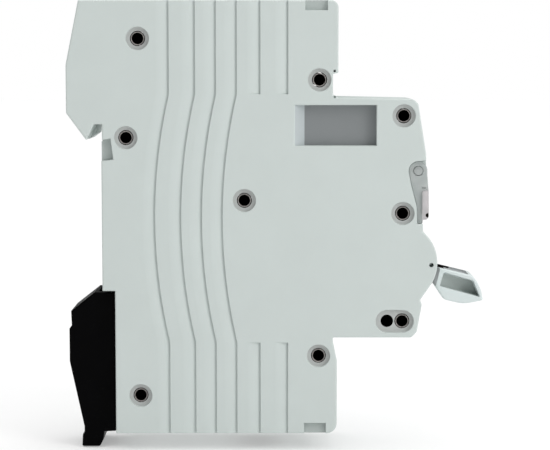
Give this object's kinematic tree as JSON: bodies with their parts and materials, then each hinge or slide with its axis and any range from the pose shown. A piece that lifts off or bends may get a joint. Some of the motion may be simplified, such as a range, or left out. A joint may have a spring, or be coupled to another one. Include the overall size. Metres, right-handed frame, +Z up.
{
  "type": "modular circuit breaker",
  "caption": "Single-pole modular circuit breaker for a DIN rail, with toggle lever, fluted case, hinged label cover, cage terminals and a sprung black rail clip.",
  "frame": {"origin": "middle of the 35 mm rail's seat, on the case face that rests on the rail, in the middle of the case's width", "axes": "+X to the breaker's right, +Y rearward out of the rail seat, +Z up along the case height; the toggle faces -Y"},
  "size_m": [0.0176, 0.0791, 0.085],
  "materials": {
    "body_plastic": "fine moulded texture, light grey with a green cast",
    "toggle_plastic": "smooth moulded light grey",
    "black_plastic": "moulded black",
    "carrier_plastic": "moulded dark brown",
    "clear_plastic": "translucent, polished",
    "window_plastic": "moulded mid grey",
    "label_card": "plain card",
    "fibre_board": "pressed fibre board",
    "rivet_steel": "nickel plated, slightly warm",
    "zinc_steel": "zinc plated",
    "spring_steel": "drawn wire",
    "copper": null,
    "silver_contact": "silver alloy contact",
    "bimetal": "rolled strip"
  },
  "bodies": {
    "housing": {"left_cover": "body_plastic", "base_shell": "body_plastic", "coil_bobbin": "black_plastic", "window_blank_left": "window_plastic", "window_blank_right": "window_plastic", "label_card": "label_card", "arc_chute_left_cheek": "fibre_board", "arc_chute_right_cheek": "fibre_board", "rivet_top_rear": "rivet_steel", "rivet_rail_hook": "rivet_steel", "rivet_centre": "rivet_steel", "rivet_top_shoulder": "rivet_steel", "rivet_nose_top": "rivet_steel", "rivet_nose_middle": "rivet_steel", "rivet_nose_bottom": "rivet_steel", "rivet_bottom_shoulder": "rivet_steel", "rivet_bottom_rear": "rivet_steel", "toggle_pin": "zinc_steel", "carrier_pin": "zinc_steel", "trip_lever_pin": "zinc_steel", "magnet_yoke": "zinc_steel", "fixed_core": "zinc_steel", "calibration_screw": "zinc_steel", "lower_arc_runner": "zinc_steel", "arc_plate_1": "zinc_steel", "arc_plate_2": "zinc_steel", "arc_plate_3": "zinc_steel", "arc_plate_4": "zinc_steel", "arc_plate_5": "zinc_steel", "arc_plate_6": "zinc_steel", "toggle_spring": "spring_steel", "plunger_spring": "spring_steel", "clip_spring": "spring_steel", "coil_winding": "copper", "fixed_contact_plate": "copper", "flexible_braid": "copper", "upper_arc_runner": "copper", "top_terminal_plate": "copper", "bottom_terminal_plate": "copper", "fixed_contact_tip": "silver_contact", "bimetal_strip": "bimetal"},
    "toggle": {"toggle": "toggle_plastic"},
    "link": {"toggle_link": "zinc_steel"},
    "contact_arm": {"contact_carrier": "carrier_plastic", "moving_contact_arm": "copper", "moving_contact_tip": "silver_contact"},
    "latch": {"latch": "zinc_steel"},
    "trip_lever": {"trip_lever": "carrier_plastic"},
    "plunger": {"plunger": "zinc_steel"},
    "top_cage": {"top_terminal_cage": "zinc_steel"},
    "bottom_cage": {"bottom_terminal_cage": "zinc_steel"},
    "top_screw": {"top_terminal_screw": "zinc_steel"},
    "bottom_screw": {"bottom_terminal_screw": "zinc_steel"},
    "rail_clip": {"din_clip": "black_plastic"},
    "label_cover": {"label_cover": "clear_plastic"}
  },
  "joints": [
    {"name": "toggle_turn", "type": "hinge", "parent": "housing", "child": "toggle", "pos_m": [0, -0.0555, -0.00833], "axis": [-1, 0, 0], "range_deg": [0, 56]},
    {"name": "link_turn", "type": "hinge", "parent": "toggle", "child": "link", "pos_m": [0, -0.057, -0.00543], "axis": [-1, 0, 0], "range_deg": [-56.5, 0.5]},
    {"name": "contact_turn", "type": "hinge", "parent": "housing", "child": "contact_arm", "pos_m": [0, -0.038, 0.0012], "axis": [1, 0, 0], "range_deg": [0, 25.2]},
    {"name": "latch_turn", "type": "hinge", "parent": "contact_arm", "child": "latch", "pos_m": [0, -0.038, 0.0012], "axis": [1, 0, 0], "range_deg": [0, 10], "stiffness_Nm_per_rad": 0.004},
    {"name": "plunger_slide", "type": "slide", "parent": "housing", "child": "plunger", "axis": [0, 0, -1], "range_m": [0, 0.0024], "stiffness_N_per_m": 150, "deforming": ["plunger_spring"]},
    {"name": "trip_turn", "type": "hinge", "parent": "housing", "child": "trip_lever", "pos_m": [0, -0.0415, 0.0085], "axis": [-1, 0, 0], "range_deg": [0, 12.6]},
    {"name": "top_screw_turn", "type": "hinge", "parent": "housing", "child": "top_screw", "pos_m": [0, -0.042, 0.034], "axis": [0, 1, 0], "range_deg": [0, 2030]},
    {"name": "top_cage_slide", "type": "slide", "parent": "housing", "child": "top_cage", "axis": [0, -1, 0], "range_m": [0, 0.0045]},
    {"name": "bottom_screw_turn", "type": "hinge", "parent": "housing", "child": "bottom_screw", "pos_m": [0, -0.042, -0.034], "axis": [0, 1, 0], "range_deg": [0, 2030]},
    {"name": "bottom_cage_slide", "type": "slide", "parent": "housing", "child": "bottom_cage", "axis": [0, -1, 0], "range_m": [0, 0.0045]},
    {"name": "clip_slide", "type": "slide", "parent": "housing", "child": "rail_clip", "axis": [0, 0, -1], "range_m": [0, 0.0045], "stiffness_N_per_m": 600, "springref_m": -0.001, "deforming": ["clip_spring"]},
    {"name": "cover_turn", "type": "hinge", "parent": "housing", "child": "label_cover", "pos_m": [0, -0.0595, 0.00906], "axis": [-1, 0, 0], "range_deg": [0, 80]}
  ],
  "couplings": [
    {"joint": "link_turn", "follows": "toggle_turn", "ratio": -1},
    {"joint": "contact_turn", "follows": "toggle_turn", "ratio": 0.44643},
    {"joint": "trip_turn", "follows": "plunger_slide", "rad_per_m": 90.9},
    {"joint": "top_screw_turn", "follows": "top_cage_slide", "rad_per_m": 7854},
    {"joint": "bottom_screw_turn", "follows": "bottom_cage_slide", "rad_per_m": 7854}
  ]
}
